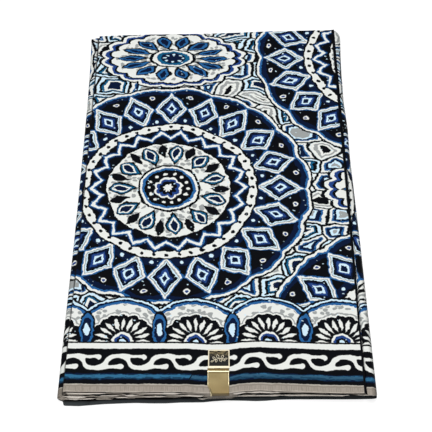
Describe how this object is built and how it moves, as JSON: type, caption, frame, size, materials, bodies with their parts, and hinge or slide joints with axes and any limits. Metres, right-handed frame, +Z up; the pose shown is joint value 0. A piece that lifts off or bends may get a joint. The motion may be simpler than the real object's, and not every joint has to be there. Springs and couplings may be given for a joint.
{
  "type": "folded wax print cotton fabric length with a foil label",
  "caption": "Printed cotton dress length, doubled across its width and rolled flat into a pressed bundle, with a gold foil label folded over its front edge.",
  "frame": {"origin": "middle of the bundle's box, on the surface it rests on", "axes": "+Z up out of the top panel, -Y towards the selvedge edges and the label, +Y towards the doubling fold, +X to the right seen from the label's end"},
  "size_m": [0.3488, 0.5946, 0.0147],
  "materials": {
    "printed_cotton_outer": "wax-printed cotton in black, navy, blue, teal, grey and off-white, smooth and slightly glazed",
    "printed_cotton_turn": "the same wax-printed cotton, where the turn before comes round the right-hand fold",
    "cotton_leaves": "taupe-grey selvedges along the front, printed folds at the back and sides",
    "gold_foil": "pale gold foil paper, satin, with brighter edges",
    "label_plate": "dark lacquered foil in a thin gold frame with a plain raised device"
  },
  "bodies": {
    "root": {"outer_stretch": "printed_cotton_outer", "right_turn": "printed_cotton_turn", "folded_core": "cotton_leaves", "label_band": "gold_foil", "label_plate": "label_plate"}
  },
  "joints": []
}
